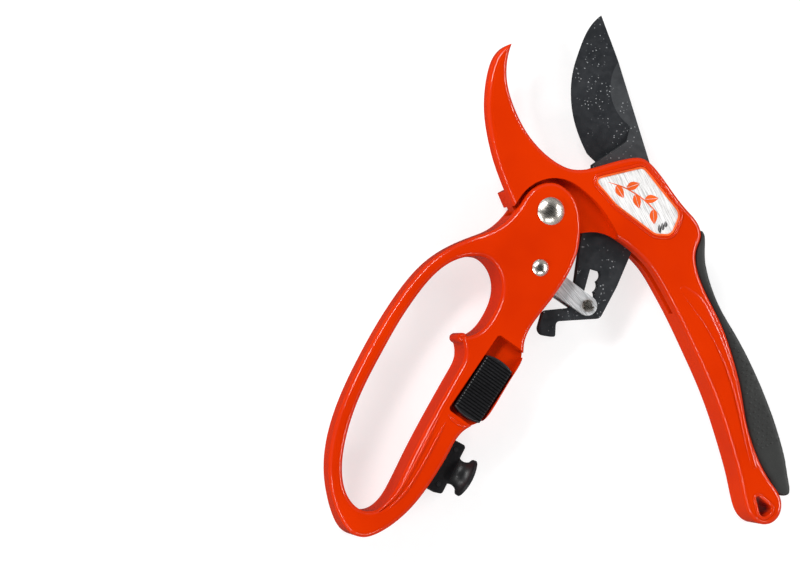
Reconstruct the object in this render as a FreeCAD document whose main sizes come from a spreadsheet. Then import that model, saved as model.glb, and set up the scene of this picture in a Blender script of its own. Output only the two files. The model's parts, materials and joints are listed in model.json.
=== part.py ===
import FreeCAD, Part
import math
import os

# Ratchet pruning shears, lying open on their back. Millimetres, +Z out of the front faces, +Y towards the blade.
# The two handles are drawn as they stand when the shears are closed, with the main pivot at their origin.
# Each Placement then turns its piece to the open position, about the pin that it turns on.

V = FreeCAD.Vector
Z_AXIS = V(0, 0, 1)

SIZES = {
    # places of the pivots, closed, from the main pivot
    "pivot_across": -6.8,
    "pivot_along": 22.87,
    "blade_pin_across": 31.0,
    "blade_pin_along": -7.5,
    "link_pin_across": 6.4,
    "link_pin_along": -21.1,
    "ratchet_across": 17.2,
    "ratchet_along": -18.4,
    # turns from closed to open, in degrees
    "hook_turn": 26.2,
    "loop_turn": -27.8,
    "blade_turn": -6.5,
    "link_turn": 12.7,
    # levels above the back faces
    "loop_depth": 18.0,
    "hook_depth": 17.0,
    "fork_floor": 5.0,
    "fork_roof": 13.0,
    "disc_floor": 5.6,
    "disc_roof": 12.4,
    "slot_floor": 7.0,
    "slot_roof": 11.0,
    "blade_floor": 7.4,
    "blade_thick": 3.2,
    "strand_floor": 3.0,
    "strand_roof": 15.0,
    "link_thick": 1.6,
    "link_gap": 0.3,
    # rivets, pins and their running clearance
    "running_gap": 0.03,
    "main_pin_wide": 7.0,
    "main_head_wide": 10.6,
    "main_head_high": 2.2,
    "link_pin_wide": 4.0,
    "link_head_wide": 6.5,
    "link_head_high": 1.5,
    "blade_pin_wide": 8.0,
    "ratchet_pin_wide": 3.0,
    "blade_head_wide": 11.0,
    "sink_deep": 1.4,
    "spring_roof": 9.6,
    # lock
    "lock_travel": 5.8,
    "lock_lean": -6.2,
    "slider_wide": 11.8,
    "slider_long": 25.4,
    "slider_floor": 14.6,
    "slider_high": 4.0,
    "lock_recess_floor": 14.4,
    "channel_floor": 6.6,
    "channel_roof": 11.4,
    "cover_sink": 1.5,
    "carrier_floor": 4.7,
    "carrier_roof": 13.3,
    # plate, grip and rounding
    "plate_thick": 0.8,
    "plate_recess": 1.0,
    "rim_round": 2.0,
}

doc = FreeCAD.newDocument("PruningShears")
sheet = doc.addObject("Spreadsheet::Sheet", "Sizes")
for row, (alias, value) in enumerate(SIZES.items(), start=1):
    sheet.set(f"A{row}", alias)
    sheet.set(f"B{row}", str(value))
    sheet.setAlias(f"B{row}", alias)
doc.recompute()


def size(alias):
    return float(sheet.get(alias))


def at(x, y):
    return V(x, y, 0)


# ---- where each group stands ----

MAIN_PIVOT = at(size("pivot_across"), size("pivot_along"))


def turned(angle, base):
    return FreeCAD.Placement(base, FreeCAD.Rotation(Z_AXIS, angle))


HOOK_PLACE = turned(size("hook_turn"), MAIN_PIVOT)
LOOP_PLACE = turned(size("loop_turn"), MAIN_PIVOT)
BLADE_PIN = at(size("blade_pin_across"), size("blade_pin_along"))
LINK_PIN = at(size("link_pin_across"), size("link_pin_along"))
RATCHET_PIN = at(size("ratchet_across"), size("ratchet_along"))
BLADE_PLACE = turned(size("blade_turn"), HOOK_PLACE.multVec(BLADE_PIN))
LINK_PLACE = turned(size("link_turn"), LOOP_PLACE.multVec(LINK_PIN))

PIECES = []


def piece(obj, place):
    """Keep an object as a finished sub-part, standing at its place."""
    obj.Placement = place
    PIECES.append(obj)
    return obj


# ---- outlines ----

def rounded(corners):
    """Closed outline through corners (x, y, radius), as lines and arcs."""
    points = [at(x, y) for x, y, _ in corners]
    count = len(points)
    ends = []
    for i, (_, _, radius) in enumerate(corners):
        here = points[i]
        before = (points[i - 1] - here).normalize()
        after = (points[(i + 1) % count] - here).normalize()
        half = before.getAngle(after) / 2
        back = radius / math.tan(half)
        middle = here + (before + after).normalize() * (radius / math.sin(half) - radius)
        ends.append((here + before * back, middle, here + after * back))
    edges = []
    for i, (start, middle, end) in enumerate(ends):
        if corners[i][2] > 0:
            edges.append(Part.Arc(start, middle, end))
        following = ends[(i + 1) % count][0]
        if end.distanceToPoint(following) > 1e-6:
            edges.append(Part.LineSegment(end, following))
    return edges


def box_outline(x0, y0, x1, y1):
    return rounded([(x0, y0, 0), (x1, y0, 0), (x1, y1, 0), (x0, y1, 0)])


def split(curve, pieces):
    """The curve as a few edges that run on into each other."""
    first, last = curve.FirstParameter, curve.LastParameter
    cuts = [first + (last - first) * i / pieces for i in range(pieces + 1)]
    edges = []
    for start, end in zip(cuts, cuts[1:]):
        edge = curve.copy()
        edge.segment(start, end)
        edges.append(edge)
    return edges


def smooth(points, pieces=12):
    """Closed smooth curve through the points."""
    curve = Part.BSplineCurve()
    curve.interpolate([at(*p) for p in points], PeriodicFlag=True)
    return split(curve, pieces)


def pointed(points, pieces=12):
    """Closed curve through the points, smooth but for a sharp corner at the first."""
    curve = Part.BSplineCurve()
    curve.interpolate([at(*p) for p in points + points[:1]])
    return split(curve, pieces)


def circle(radius, centre=V(0, 0, 0)):
    return [Part.Circle(centre, Z_AXIS, radius)]


def eyes(centre_a, radius_a, centre_b, radius_b):
    """Closed outline of a strap: two round ends joined by the straight lines that touch both."""
    along = centre_b - centre_a
    angle = math.atan2(along.y, along.x)
    spread = math.acos((radius_a - radius_b) / along.Length)

    def rim(centre, radius, turn):
        return centre + V(math.cos(turn), math.sin(turn), 0) * radius

    left_a = rim(centre_a, radius_a, angle + spread)
    left_b = rim(centre_b, radius_b, angle + spread)
    right_a = rim(centre_a, radius_a, angle - spread)
    right_b = rim(centre_b, radius_b, angle - spread)
    return [
        Part.Arc(left_a, rim(centre_a, radius_a, angle + math.pi), right_a),
        Part.LineSegment(right_a, right_b),
        Part.Arc(right_b, rim(centre_b, radius_b, angle), left_b),
        Part.LineSegment(left_b, left_a),
    ]


# ---- features ----

def new_body(label):
    body = doc.addObject("PartDesign::Body", label)
    body.Label = label
    return body


def origin_plane(body, role="XY_Plane"):
    return next(f for f in body.Origin.OriginFeatures if f.Role == role)


def sketch(body, name, edges, level="0", role="XY_Plane"):
    """A sketch on one of the body's origin planes, raised to a level that the sheet gives."""
    made = body.newObject("Sketcher::SketchObject", name)
    made.AttachmentSupport = [(origin_plane(body, role), "")]
    made.MapMode = "FlatFace"
    made.setExpression("AttachmentOffset.Base.z", level)
    made.addGeometry(edges, False)
    return made


def pad(body, name, edges, floor, roof):
    """Material between two levels of the sheet."""
    made = body.newObject("PartDesign::Pad", name)
    made.Profile = sketch(body, name + "_outline", edges, floor)
    made.setExpression("Length", f"({roof}) - ({floor})")
    doc.recompute()
    return made


def pocket(body, name, edges, floor, roof):
    """A space cut between two levels of the sheet. It has to take material away."""
    before = body.Shape.Volume
    made = body.newObject("PartDesign::Pocket", name)
    made.Profile = sketch(body, name + "_outline", edges, floor)
    made.setExpression("Length", f"({roof}) - ({floor})")
    made.Reversed = True
    doc.recompute()
    if not body.Shape.Volume < before - 1e-3:
        raise RuntimeError(f"{name} cuts nothing")
    return made


def slope(shape, face, edge):
    """How flat a face lies where it meets an edge: 0 for an upright wall, 1 for a level face."""
    middle = edge.valueAt((edge.FirstParameter + edge.LastParameter) / 2)
    u, v = face.Surface.parameter(middle)
    return abs(face.normalAt(u, v).z)


def rim_edges(shape):
    """Names of the edges where an upright wall meets a face that lies flat or nearly so."""
    names = []
    for number, edge in enumerate(shape.Edges, start=1):
        slopes = sorted(slope(shape, face, edge) for face in shape.ancestorsOfType(edge, Part.Face))
        if len(slopes) == 2 and slopes[0] < 0.01 and slopes[1] > 0.5:
            names.append(f"Edge{number}")
    return names


def round_rims(body, name, radius):
    """Fillet the front and back rims of a casting."""
    base = body.Tip
    made = body.newObject("PartDesign::Fillet", name)
    made.Base = (base, rim_edges(base.Shape))
    made.setExpression("Radius", radius)
    doc.recompute()
    return made


def lathe(label, edges, place):
    """A round piece: half its section, (radius, height), turned about its own axis."""
    body = new_body(label)
    section = sketch(body, label + "_section", edges, role="XZ_Plane")
    made = body.newObject("PartDesign::Revolution", label + "_round")
    made.Profile = section
    made.ReferenceAxis = (origin_plane(body, "Z_Axis"), "")
    made.Angle = 360
    doc.recompute()
    return piece(body, place)


def section(*points):
    """Straight-sided half section through (radius, height) points."""
    corners = [at(*p) for p in points]
    return [Part.LineSegment(a, b) for a, b in zip(corners, corners[1:] + corners[:1])]


def ring(label, inner, outer, floor, roof, place):
    return lathe(label, section((inner, floor), (outer, floor), (outer, roof), (inner, roof)), place)


def rivet(label, shank, head_back, sink, roof, head_front, dome, place):
    """Rivet with a sunk flat head at the back and a domed head in front."""
    under = [at(0, 0.2), at(head_back, 0.2), at(head_back, sink), at(shank, sink), at(shank, roof),
             at(head_front, roof)]
    lines = [Part.LineSegment(a, b) for a, b in zip(under, under[1:])]
    reach = (head_front ** 2 + dome ** 2) / (2 * dome)
    middle = at(head_front * 0.6, roof + dome - reach + math.sqrt(reach ** 2 - (head_front * 0.6) ** 2))
    cap = Part.Arc(under[-1], middle, at(0, roof + dome))
    axis = Part.LineSegment(at(0, roof + dome), under[0])
    return lathe(label, lines + [cap, axis], place)


S = "Sizes."

# ---- hook and right handle: one casting ----

HOOK_OUTLINE = [
    # inside of the jaw, from its tip down to the crotch
    (14.8, 63.9), (10.6, 59.2), (7.6, 54.0), (5.5, 47.0), (4.8, 39.4), (5.2, 31.1), (7.2, 23.2), (10.8, 15.9),
    (15.6, 10.6), (22.0, 7.8),
    # head
    (30.0, 6.3), (37.5, 4.8), (43.4, 2.2), (46.4, -3.6), (48.3, -12.0), (50.9, -23.0), (52.8, -30.6),
    # face that the grip lies on
    (51.6, -35.2), (48.2, -38.4), (45.9, -41.8), (44.5, -46.4), (43.9, -52.4), (44.0, -60.5), (44.2, -70.0),
    (43.4, -79.5), (42.0, -88.5), (39.8, -98.0), (37.0, -107.5), (35.4, -117.0), (35.0, -126.0), (35.8, -134.0),
    # rounded end
    (36.6, -140.6), (34.4, -145.6), (29.4, -148.0), (24.6, -146.2), (22.2, -141.2),
    # inner edge, back up to the head
    (22.6, -135.5), (24.6, -127.0), (26.3, -118.0), (27.8, -108.0), (29.0, -98.0), (29.7, -86.0), (29.8, -72.0),
    (29.6, -58.0), (28.9, -47.0), (27.6, -37.0), (25.0, -29.5), (21.6, -23.0), (17.4, -17.6), (12.8, -14.6),
    (6.0, -12.6), (-1.0, -11.4),
    # disc and outside of the jaw
    (-7.0, -9.2), (-10.6, -3.0), (-11.6, 6.0), (-11.2, 18.0), (-10.3, 27.0), (-8.4, 36.0), (-5.6, 44.6),
    (-2.0, 51.6), (2.2, 57.6), (7.0, 62.2),
]
JAW_UNDERSIDE = [(-30.0, 14.0, 0), (3.0, 14.0, 6), (12.0, 8.0, 4), (20.0, 4.0, 0), (40.0, 30.0, 0),
                 (40.0, 80.0, 0), (-30.0, 80.0, 0)]
BLADE_SWEEP = [(16.0, 12.5, 0), (21.5, 30.0, 0), (60.0, 30.0, 0), (60.0, -11.0, 0), (45.4, -11.0, 1.0),
               (43.2, -16.0, 3), (41.0, -26.0, 4), (36.0, -44.0, 3), (33.0, -57.6, 1.5), (10.0, -57.6, 0),
               (2.0, -26.0, 0), (9.2, -14.9, 0.8), (11.2, -9.0, 2.0)]
RECESS = [(-16.0, 3.6), (-11.4, 8.0), (-8.0, 10.2), (-3.6, 11.8), (1.9, 12.1), (7.4, 10.6), (12.2, 7.0),
          (16.2, 0.6), (19.0, -6.4), (20.2, -12.4), (20.7, -17.4), (20.4, -22.0), (10.0, -26.0), (-14.0, -20.0)]
PLATE = [(20.8, 4.2, 2.0), (42.0, -0.4, 3.2), (48.0, -23.4, 4.6), (40.6, -29.8, 4.0), (34.2, -26.4, 5.0),
         (24.8, -9.4, 12.0)]
HANG_HOLE = [(27.3, -134.2, 0.8), (31.9, -143.6, 2.0), (25.0, -144.5, 2.0)]
SPRING_ROOM = (4.6, 8.8)
SPRING_RADIUS = 6.7


def bore(pin_width):
    return size(pin_width) / 2 + size("running_gap")


def hook_handle():
    body = new_body("hook_handle")
    roof = S + "hook_depth"
    above = roof + " + 1"
    pad(body, "casting", pointed(HOOK_OUTLINE), "0", roof)
    round_rims(body, "rim_rounding", S + "rim_round")
    pocket(body, "jaw_underside", rounded(JAW_UNDERSIDE), "-1", S + "slot_roof")
    pocket(body, "blade_slot", rounded(BLADE_SWEEP), S + "slot_floor", S + "slot_roof")
    pocket(body, "front_recess", smooth(RECESS), S + "disc_roof", above)
    pocket(body, "back_recess", smooth(RECESS), "-1", S + "disc_floor")
    pocket(body, "plate_seat", rounded(PLATE), roof + " - " + S + "plate_recess", above)
    pocket(body, "hanging_hole", rounded(HANG_HOLE), "-1", above)
    pocket(body, "main_bore", circle(bore("main_pin_wide")), "-1", above)
    inner, outer = SPRING_ROOM
    pocket(body, "spring_room", circle(outer) + circle(inner), S + "disc_floor - 1", S + "spring_roof")
    pocket(body, "spring_leg_hole", circle(0.65, at(-SPRING_RADIUS, 0)), S + "spring_roof - 1", S + "spring_roof + 2")
    pocket(body, "blade_bore", circle(size("blade_pin_wide") / 2, BLADE_PIN), "-1", roof + " - 2.5")
    pocket(body, "blade_head_sink", circle(size("blade_head_wide") / 2, BLADE_PIN), "-1", S + "sink_deep")
    return piece(body, HOOK_PLACE)


# ---- grip pad on the outside of the right handle ----

GRIP_OUTLINE = [
    (53.8, -33.8), (53.2, -37.0), (50.6, -41.8), (48.7, -47.2), (47.6, -53.2), (47.0, -60.5), (47.3, -67.5),
    (48.1, -74.5), (48.7, -82.0), (49.0, -90.0), (48.9, -98.0), (48.5, -106.0), (47.8, -114.0), (46.7, -121.5),
    (45.2, -129.0), (43.1, -136.0), (40.0, -141.8),
]


def grip_pad():
    """Rubber fills the space between the casting's outer face and the hand."""
    body = new_body("grip_pad")
    back = [p for p in HOOK_OUTLINE if p[0] > 32.5 and -135.0 < p[1] < -33.0]
    outline = pointed([(52.95, -32.6)] + GRIP_OUTLINE + [(36.75, -139.6)] + back[::-1], 12)
    pad(body, "rubber", outline, "1.2", S + "hook_depth - 1.2")
    return piece(body, HOOK_PLACE)


# ---- name plate ----

def name_plate():
    body = new_body("name_plate")
    seat = S + "hook_depth - " + S + "plate_recess"
    inset = [(x + (36 - x) * 0.012, y + (-13 - y) * 0.012, r) for x, y, r in PLATE]
    pad(body, "sheet", rounded(inset), seat, seat + " + " + S + "plate_thick")
    return piece(body, HOOK_PLACE)


# ---- loop handle: fork, lock housing and finger loop in one casting ----

LOOP_OUTLINE = [
    # round cheek, then down the left of the finger loop
    (0.0, 10.9), (-6.6, 8.7), (-10.6, 2.6), (-11.4, -3.5), (-12.6, -9.6), (-15.2, -15.5), (-20.5, -21.8),
    (-26.8, -29.5), (-31.4, -37.5), (-34.4, -46.5), (-36.4, -58.0), (-37.4, -69.0), (-37.8, -84.0),
    (-37.4, -97.0), (-36.1, -108.0), (-33.6, -118.0), (-29.6, -127.0), (-23.8, -135.0), (-17.4, -140.8),
    (-11.5, -143.4), (-7.0, -142.6), (-2.6, -138.6), (1.0, -132.8), (3.8, -126.0), (5.7, -118.5), (6.9, -110.0),
    (7.6, -100.0), (8.3, -91.5),
    # shoulder below the lock, then up the right of the lock housing and cheek
    (10.4, -87.2), (13.8, -83.0), (15.3, -77.0), (15.9, -69.0), (16.6, -61.0), (16.6, -54.5), (14.6, -49.4),
    (13.9, -44.5), (14.6, -38.0), (16.2, -30.0), (17.4, -22.0), (17.7, -15.0), (16.9, -8.0), (14.6, -1.6),
    (11.2, 4.4), (6.4, 9.0),
]
FINGER_HOLE = [
    # from the point of the finger spur, round the top and down the strand
    (-9.4, -58.6), (-4.6, -55.8), (-2.2, -51.5), (-1.3, -46.0), (-1.5, -40.0), (-3.4, -34.2), (-7.6, -29.6),
    (-13.6, -27.7), (-19.0, -29.8), (-24.6, -35.4), (-28.4, -43.5), (-30.5, -53.0), (-31.9, -65.0),
    (-32.4, -78.0), (-32.5, -90.0), (-31.8, -101.0), (-29.8, -112.0), (-26.6, -121.5), (-22.4, -128.4),
    (-17.6, -132.6), (-12.8, -134.0), (-8.2, -132.2), (-5.2, -127.0), (-4.4, -119.0), (-4.6, -107.0),
    (-4.5, -94.0), (-4.1, -82.0), (-3.6, -71.0), (-3.8, -65.4), (-5.6, -61.6),
]
FORK_SPACE = [(-40.0, 20.0, 0), (-40.0, -6.4, 0), (-13.6, -6.4, 3), (-9.0, -12.6, 6), (-1.6, -18.6, 6),
              (1.4, -27.0, 4), (1.0, -66.6, 1.5), (40.0, -66.6, 0), (40.0, 20.0, 0)]
STRAND_STARTS = -10.0
STRAND_ENDS = -25.0
LOCK_RECESS = [(-6.6, 8.2, 1.5), (6.6, 8.2, 1.5), (7.0, -23.6, 1.5), (4.6, -26.6, 1.5), (-7.2, -26.4, 1.5)]
LOCK_SLOT = [(-2.2, -16.4, 0.4), (2.2, -16.4, 0.4), (2.2, -2.2, 0.4), (-2.2, -2.2, 0.4)]
CHANNEL = [(-3.9, -28.6, 0.5), (4.4, -28.6, 0.5), (4.4, 0.0, 0), (-3.9, 0.0, 0)]
WINDOW = [(-3.9, -22.2, 0.5), (3.9, -22.2, 0.5), (3.9, -4.0, 0.5), (-3.9, -4.0, 0.5)]
COVER = [(-5.0, -22.8, 1.1), (5.0, -22.8, 1.1), (5.0, -2.6, 1.1), (-5.0, -2.6, 1.1)]
BOLT = [(-3.6, -22.0, 0.5), (4.1, -22.0, 0.5), (4.1, -7.0, 0.3), (1.9, -7.0, 0.3), (1.9, -11.4, 0.3),
        (-3.6, -11.4, 0.5)]
SCREW_AT = at(0, -14.0)
STEM_HALF = 2.0
STEM_TOP = -8.4
STEM_BOTTOM = -16.0
RIB_GROOVES = 19
CARRIER = (5.7, -114.6, 13.3, -94.0)
PIN_SPOTS = [("upper_pin", at(10.4, -97.0)), ("lower_pin", at(10.4, -111.6))]
BUMPER_LEVEL = 9.0
LEAN = turned(size("lock_lean"), at(9.3, -60.0))


def leaning(corners):
    """Corners given on the lock's own axes, as corners of the loop handle."""
    turned_corners = []
    for x, y, radius in corners:
        spot = LEAN.multVec(at(x, y))
        turned_corners.append((spot.x, spot.y, radius))
    return turned_corners


def lock_frame():
    return LOOP_PLACE.multiply(LEAN)


def arc_groove(radius, half, start, end):
    """Outline of a curved slot about the origin, between two angles in degrees."""
    def spot(reach, angle):
        turn = math.radians(angle)
        return V(math.cos(turn), math.sin(turn), 0) * reach

    middle = (start + end) / 2
    inner, outer = radius - half, radius + half
    return [
        Part.Arc(spot(outer, start), spot(outer, middle), spot(outer, end)),
        Part.LineSegment(spot(outer, end), spot(inner, end)),
        Part.Arc(spot(inner, end), spot(inner, middle), spot(inner, start)),
        Part.LineSegment(spot(inner, start), spot(outer, start)),
    ]


def thin_strand(body, name, thick_level, thin_level, outside):
    """Bring one face of the casting in, from the fork's full depth to the strand's, in an easy curve."""
    far = -60.0
    easing = Part.BSplineCurve()
    easing.interpolate(
        [at(STRAND_STARTS, thick_level), at((STRAND_STARTS + STRAND_ENDS) / 2, (thick_level + thin_level) / 2),
         at(STRAND_ENDS, thin_level)],
        InitialTangent=V(-1, 0, 0), FinalTangent=V(-1, 0, 0))
    rest = [at(STRAND_ENDS, thin_level), at(far, thin_level), at(far, outside), at(STRAND_STARTS, outside),
            at(STRAND_STARTS, thick_level)]
    made = body.newObject("PartDesign::Pocket", name)
    made.Profile = sketch(body, name + "_outline", [easing] + [Part.LineSegment(a, b) for a, b in zip(rest, rest[1:])],
                          role="XZ_Plane")
    made.Type = "ThroughAll"
    made.Midplane = True
    doc.recompute()


def loop_handle():
    body = new_body("loop_handle")
    roof = S + "loop_depth"
    above = roof + " + 1"
    pad(body, "casting", smooth(LOOP_OUTLINE) + pointed(FINGER_HOLE), "0", roof)
    thin_strand(body, "strand_front", size("loop_depth"), size("strand_roof"), size("loop_depth") + 5)
    thin_strand(body, "strand_back", 0.0, size("strand_floor"), -5.0)
    round_rims(body, "rim_rounding", S + "rim_round")
    pocket(body, "fork_space", rounded(FORK_SPACE), S + "fork_floor", S + "fork_roof")
    pocket(body, "lock_recess", rounded(leaning(LOCK_RECESS)), S + "lock_recess_floor", above)
    pocket(body, "lock_slot", rounded(leaning(LOCK_SLOT)), S + "slot_roof", above)
    pocket(body, "bolt_channel", rounded(leaning(CHANNEL)), S + "channel_floor", S + "channel_roof")
    pocket(body, "lock_window", rounded(leaning(WINDOW)), "-1", S + "slot_floor")
    pocket(body, "cover_seat", rounded(leaning(COVER)), "-1", S + "cover_sink")
    x0, y0, x1, y1 = CARRIER
    seat = box_outline(x0 - 0.1, y0 - 0.1, x1 + 20, y1 + 0.1)
    pocket(body, "bumper_seat", seat, S + "carrier_floor - 0.1", S + "carrier_roof + 0.1")
    pocket(body, "spring_groove", arc_groove(SPRING_RADIUS, 0.8, -7.0, 61.0), S + "fork_floor - 1.1",
           S + "fork_floor + 0.5")
    pocket(body, "main_bore", circle(size("main_pin_wide") / 2), "-1", above)
    pocket(body, "main_sink", circle(size("main_head_wide") / 2), "-1", S + "sink_deep")
    pocket(body, "link_bore", circle(size("link_pin_wide") / 2, LINK_PIN), "-1", above)
    pocket(body, "link_sink", circle(size("link_head_wide") / 2, LINK_PIN), "-1", S + "sink_deep")
    return piece(body, LOOP_PLACE)


# ---- cutting blade, from its own pin ----

BLADE_EDGE = [(-15.3, 68.9), (-19.4, 63.6), (-22.7, 53.8), (-24.3, 45.0), (-24.1, 37.0), (-22.2, 28.4),
              (-18.4, 20.0), (-13.2, 12.2)]
BLADE_REST = [(-12.7, 8.0, 3), (-14.4, -18.0, 4), (-14.9, -35.0, 3), (-15.4, -45.6, 1.6), (-26.4, -48.0, 2.6),
              (-28.0, -57.4, 2.8), (-20.6, -57.6, 0.8), (-21.0, -51.6, 1.6), (-3.4, -48.4, 2.4), (2.0, -35.4, 4),
              (6.6, -20.8, 6), (12.4, -4.0, 6), (12.6, 8.4, 2.5)]
SLOT_TOP = at(-7.4, -32.0)
SLOT_BOTTOM = at(-9.4, -44.2)
SLOT_LEFT = 2.45
SLOT_RIGHT = 1.55
NOTCH_REACH = 2.5
NOTCHES = 4
GRIND_CENTRE = (8.0, 43.0)
GRIND_REGION = [(-13.9, 9.6, 0), (-0.4, 21.2, 0), (0.6, 30.0, 0), (0.0, 80.0, 0), (-45.0, 80.0, 0), (-45.0, 9.6, 0)]
GRIND_FULL = 17.5
GRIND_EDGE = 36.5


def slot_outline():
    """Slot with a straight left side and scalloped notches down its right side."""
    down = (SLOT_BOTTOM - SLOT_TOP).normalize()
    right = V(-down.y, down.x, 0)
    pitch = SLOT_TOP.distanceToPoint(SLOT_BOTTOM) / (NOTCHES - 1)

    def place(along, across):
        return SLOT_TOP + down * along + right * across

    top, bottom = -pitch / 2, pitch * (NOTCHES - 0.5)
    edges = [Part.LineSegment(place(top, SLOT_RIGHT), place(top, -SLOT_LEFT)),
             Part.LineSegment(place(top, -SLOT_LEFT), place(bottom, -SLOT_LEFT)),
             Part.LineSegment(place(bottom, -SLOT_LEFT), place(bottom, SLOT_RIGHT))]
    for notch in range(NOTCHES):
        start = place(pitch * (notch - 0.5), SLOT_RIGHT)
        end = place(pitch * (notch + 0.5), SLOT_RIGHT)
        edges.append(Part.Arc(start, place(pitch * notch, NOTCH_REACH), end))
    return edges


def blade_outline():
    edge = Part.BSplineCurve()
    edge.interpolate([at(*p) for p in BLADE_EDGE])
    heel, tip = BLADE_EDGE[-1], BLADE_EDGE[0]
    rest = rounded([(*heel, 0)] + BLADE_REST + [(*tip, 0)])
    return split(edge, 3) + rest[:-1]


def cutting_blade():
    """The blank, less the metal that grinding its front face takes away."""
    blank = new_body("blade_blank")
    floor = S + "blade_floor"
    roof = floor + " + " + S + "blade_thick"
    pad(blank, "blank", blade_outline(), floor, roof)
    pocket(blank, "pin_hole", circle(bore("blade_pin_wide")), "0", roof + " + 1")
    pocket(blank, "toothed_slot", slot_outline(), "0", roof + " + 1")

    region = new_body("grind_region")
    pad(region, "region", rounded(GRIND_REGION), floor, roof + " + 1")
    kept = doc.addObject("Part::Cone", "grind_kept")
    kept.Radius1 = GRIND_EDGE
    kept.Radius2 = GRIND_FULL
    kept.setExpression("Height", S + "blade_thick")
    kept.Placement = FreeCAD.Placement(V(*GRIND_CENTRE, size("blade_floor")), FreeCAD.Rotation())
    ground = doc.addObject("Part::Cut", "ground_away")
    ground.Base = region
    ground.Tool = kept
    blade = doc.addObject("Part::Cut", "cutting_blade")
    blade.Base = blank
    blade.Tool = ground
    doc.recompute()
    return piece(blade, BLADE_PLACE)


# ---- pins, rivets and washers ----

def blade_pin_place():
    return turned(size("hook_turn"), HOOK_PLACE.multVec(BLADE_PIN))


def link_rivet_place():
    return turned(size("loop_turn"), LOOP_PLACE.multVec(LINK_PIN))


def pins_and_washers():
    main_pin = size("main_pin_wide") / 2
    rivet("main_pivot_rivet", main_pin, size("main_head_wide") / 2 - 0.1, size("sink_deep"), size("loop_depth"),
          size("main_head_wide") / 2, size("main_head_high"), LOOP_PLACE)
    ring("pivot_washer_back", main_pin + 0.03, SPRING_ROOM[0] - 0.1, size("fork_floor"),
         size("disc_floor") - 0.05, LOOP_PLACE)
    ring("pivot_washer_front", main_pin + 0.03, 8.0, size("disc_roof") + 0.05, size("fork_roof"), LOOP_PLACE)

    link_pin = size("link_pin_wide") / 2
    rivet("link_pivot_rivet", link_pin, size("link_head_wide") / 2 - 0.1, size("sink_deep"), size("loop_depth"),
          size("link_head_wide") / 2, size("link_head_high"), link_rivet_place())

    blade_pin = size("blade_pin_wide") / 2
    head = size("blade_head_wide") / 2 - 0.1
    sink = size("sink_deep")
    pin_roof = size("hook_depth") - 2.6
    lathe("blade_pivot_pin", section((0, 0.2), (head, 0.2), (head, sink), (blade_pin, sink),
                                     (blade_pin, pin_roof), (0, pin_roof)), blade_pin_place())
    blade_roof = size("blade_floor") + size("blade_thick")
    ring("blade_washer_back", blade_pin, 9.0, size("slot_floor"), size("blade_floor") - 0.05, blade_pin_place())
    ring("blade_washer_front", blade_pin, 9.0, blade_roof + 0.05, size("slot_roof"), blade_pin_place())


# ---- link ----

def link_plate(label, floor):
    body = new_body(label)
    roof = f"{floor} + {S}link_thick"
    strap = eyes(V(0, 0, 0), 4.3, RATCHET_PIN, 3.8)
    holes = circle(bore("link_pin_wide")) + circle(size("ratchet_pin_wide") / 2, RATCHET_PIN)
    pad(body, label + "_sheet", strap + holes, floor, roof)
    return piece(body, LINK_PLACE)


def link_group():
    front = f"{S}blade_floor + {S}blade_thick + {S}link_gap"
    back = f"{S}blade_floor - {S}link_gap - {S}link_thick"
    link_plate("link_plate_front", front)
    link_plate("link_plate_back", back)
    front_floor = size("blade_floor") + size("blade_thick") + size("link_gap")
    front_roof = front_floor + size("link_thick")
    back_roof = size("blade_floor") - size("link_gap")
    back_floor = back_roof - size("link_thick")

    pin_place = turned(size("link_turn"), LINK_PLACE.multVec(RATCHET_PIN))
    pin = size("ratchet_pin_wide") / 2
    groove = pin - 0.3
    clip_floor, clip_roof = front_roof, front_roof + 0.6
    lathe("ratchet_pin", section((0, back_floor - 0.7), (2.6, back_floor - 0.7), (2.6, back_floor),
                                 (pin, back_floor), (pin, clip_floor), (groove, clip_floor),
                                 (groove, clip_roof), (pin, clip_roof), (pin, clip_roof + 0.5),
                                 (0, clip_roof + 0.5)), pin_place)
    retaining_clip(groove, clip_floor, clip_roof, pin_place)
    ring("link_spacer", size("link_pin_wide") / 2, 3.2, back_roof + 0.05, front_floor - 0.05, link_rivet_place())


def retaining_clip(groove, floor, roof, place):
    """E-shaped clip: an open ring with three lugs that reach into the pin's groove."""
    outer, inner = 2.4, groove + 0.6
    clip = Part.makeCylinder(outer, roof - floor, V(0, 0, floor))
    clip = clip.cut(Part.makeCylinder(inner, roof - floor, V(0, 0, floor)))
    mouth = Part.makeBox(2 * outer, 1.6, roof - floor, V(0.2, -0.8, floor))
    clip = clip.cut(mouth)
    for angle in (90.0, 180.0, 270.0):
        lug = Part.makeBox(inner - groove + 0.3, 0.9, roof - floor, V(groove, -0.45, floor))
        lug.rotate(V(0, 0, 0), Z_AXIS, angle)
        clip = clip.fuse(lug)
    clip = clip.cut(Part.makeCylinder(groove, roof - floor, V(0, 0, floor)))
    made = doc.addObject("Part::Feature", "ratchet_pin_clip")
    made.Shape = clip.removeSplitter()
    return piece(made, place)


# ---- springs ----

def spring(radius, wire, turns):
    """Torsion spring: a close coil about +Z, with a straight leg from each end."""
    pitch = wire + 0.1
    coil = Part.makeHelix(pitch, pitch * turns, radius)
    across = Part.Wire([Part.makeCircle(wire / 2, V(radius, 0, 0), V(0, 1, 0))])
    wound = Part.Wire(coil.Edges).makePipeShell([across], True, True)
    last = turns * 2 * math.pi
    end = V(radius * math.cos(last), radius * math.sin(last), pitch * turns)
    return wound, V(radius, 0, 0), end


def leg(start, along, wire):
    """Straight end of a spring's wire. It begins a little inside the coil's last turn."""
    step = along / along.Length * wire * 0.45
    return Part.makeCylinder(wire / 2, (along + step).Length, start - step, along)


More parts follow.
